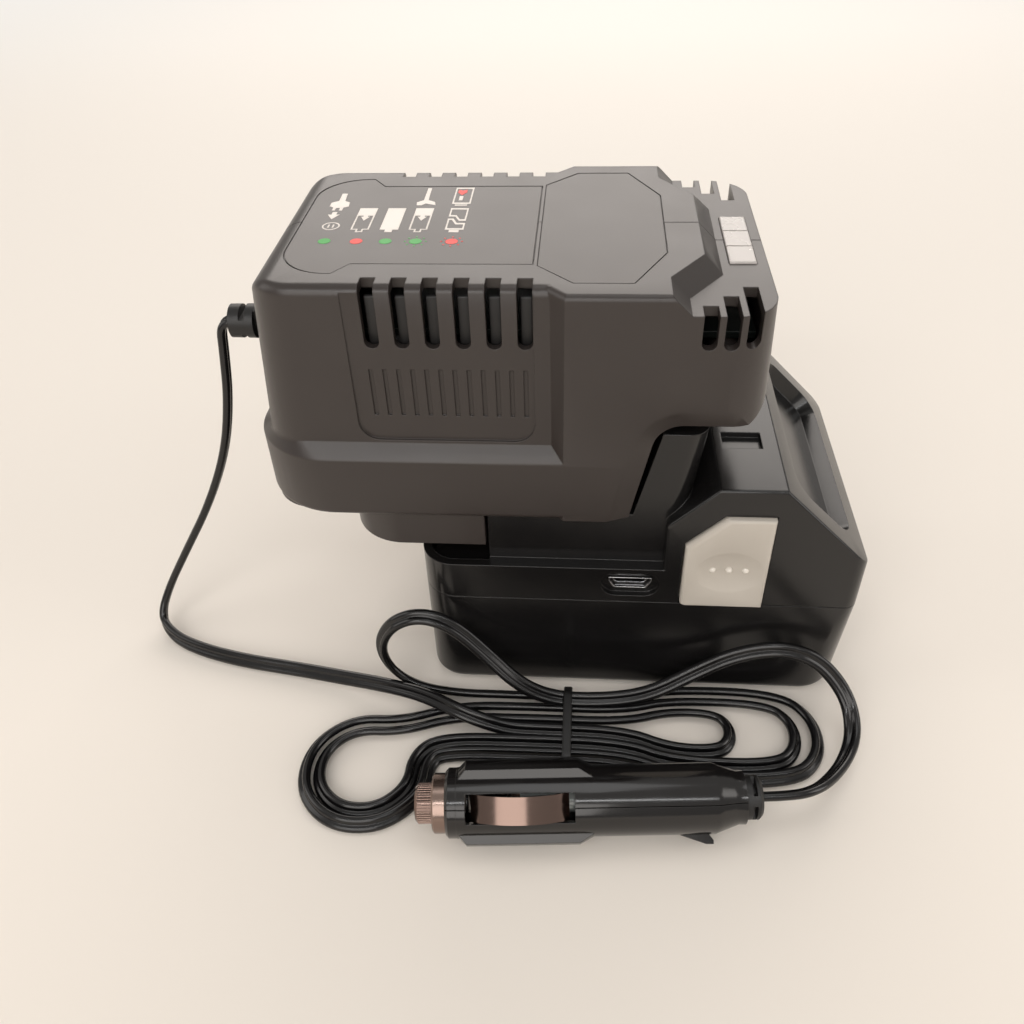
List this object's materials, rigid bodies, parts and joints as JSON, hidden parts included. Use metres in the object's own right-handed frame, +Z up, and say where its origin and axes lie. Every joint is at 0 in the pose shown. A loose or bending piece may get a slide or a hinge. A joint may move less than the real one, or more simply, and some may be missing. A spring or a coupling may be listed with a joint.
{
  "type": "battery charger",
  "caption": "Vehicle charger docked on the post of a tool battery pack with press-in side latches; its tied cord ends in a lighter plug with a sprung tip.",
  "frame": {"origin": "middle of the pack's flat base, on the surface it stands on", "axes": "+X towards the charger's light window, the cord leaves at the -X end; +Y towards the far side, the socket and the tied cord are on the -Y side; +Z up"},
  "size_m": [0.2096, 0.1353, 0.124],
  "materials": {
    "charger_plastic": "fine spark texture, satin",
    "pack_plastic": "smooth, glossy",
    "latch_plastic": "smooth, satin",
    "plug_plastic": "smooth, glossy",
    "label_film": "printed film, matt",
    "window_plastic": "translucent, smooth",
    "cord_rubber": "flexible, satin",
    "board_laminate": "solder-masked",
    "ferrite": "wound core",
    "can_aluminium": "plain",
    "light_lens": "clear lens",
    "inner_plastic": "moulded",
    "contact_brass": "plain",
    "screw_steel": "zinc plated",
    "spring_steel": "nickel plated",
    "cell_can": "sleeved can",
    "plug_nickel": "nickel plated",
    "fuse_glass": "glass tube with metal caps"
  },
  "bodies": {
    "pack": {"lower_case": "pack_plastic", "upper_cover": "pack_plastic", "case_screws": "screw_steel", "cells": "cell_can", "cell_holders": "inner_plastic", "cell_straps": "spring_steel", "pack_board": "board_laminate", "usb_socket": "spring_steel", "post_terminals": "contact_brass", "latch_spring_near": "spring_steel", "latch_spring_far": "spring_steel", "cord_drop": "cord_rubber", "cord_hank": "cord_rubber", "cord_tail": "cord_rubber", "cord_tie": "cord_rubber", "plug_upper_shell": "plug_plastic", "plug_lower_shell": "plug_plastic", "plug_screw": "screw_steel", "plug_tip_spring": "spring_steel", "plug_fuse": "fuse_glass", "plug_nose_ring": "plug_nickel", "plug_grommet": "cord_rubber"},
    "charger": {"housing_near_half": "charger_plastic", "housing_far_half": "charger_plastic", "housing_screws": "screw_steel", "status_label": "label_film", "rating_label": "label_film", "light_window": "window_plastic", "circuit_board": "board_laminate", "transformer": "ferrite", "capacitors": "can_aluminium", "choke_coil": "ferrite", "heat_sink": "can_aluminium", "status_lights": "light_lens", "contact_block": "inner_plastic", "contact_blades": "contact_brass", "cord_gland": "cord_rubber"},
    "latch_near": {"latch_near": "latch_plastic"},
    "latch_far": {"latch_far": "latch_plastic"},
    "plug_tip": {"plug_tip": "plug_nickel"},
    "plug_contact_upper": {"plug_contact_upper": "plug_nickel"},
    "plug_contact_lower": {"plug_contact_lower": "plug_nickel"}
  },
  "joints": [
    {"name": "charger_lift", "type": "slide", "parent": "pack", "child": "charger", "axis": [0, 0, 1], "range_m": [0, 0.045]},
    {"name": "latch_near_press", "type": "slide", "parent": "pack", "child": "latch_near", "axis": [0, 1, 0], "range_m": [0, 0.0025], "stiffness_N_per_m": 800, "springref_m": -0.002, "deforming": ["latch_spring_near"]},
    {"name": "latch_far_press", "type": "slide", "parent": "pack", "child": "latch_far", "axis": [0, -1, 0], "range_m": [0, 0.0025], "stiffness_N_per_m": 800, "springref_m": -0.002, "deforming": ["latch_spring_far"]},
    {"name": "plug_tip_press", "type": "slide", "parent": "pack", "child": "plug_tip", "axis": [0.9972, 0.075, 0], "range_m": [0, 0.0025], "stiffness_N_per_m": 600, "springref_m": -0.002, "deforming": ["plug_tip_spring"]},
    {"name": "plug_contact_upper_press", "type": "slide", "parent": "pack", "child": "plug_contact_upper", "axis": [-0.053, 0.7051, -0.7071], "range_m": [0, 0.0014], "stiffness_N_per_m": 800, "springref_m": -0.001},
    {"name": "plug_contact_lower_press", "type": "slide", "parent": "pack", "child": "plug_contact_lower", "axis": [0.053, -0.7051, 0.7071], "range_m": [0, 0.0014], "stiffness_N_per_m": 800, "springref_m": -0.001}
  ]
}
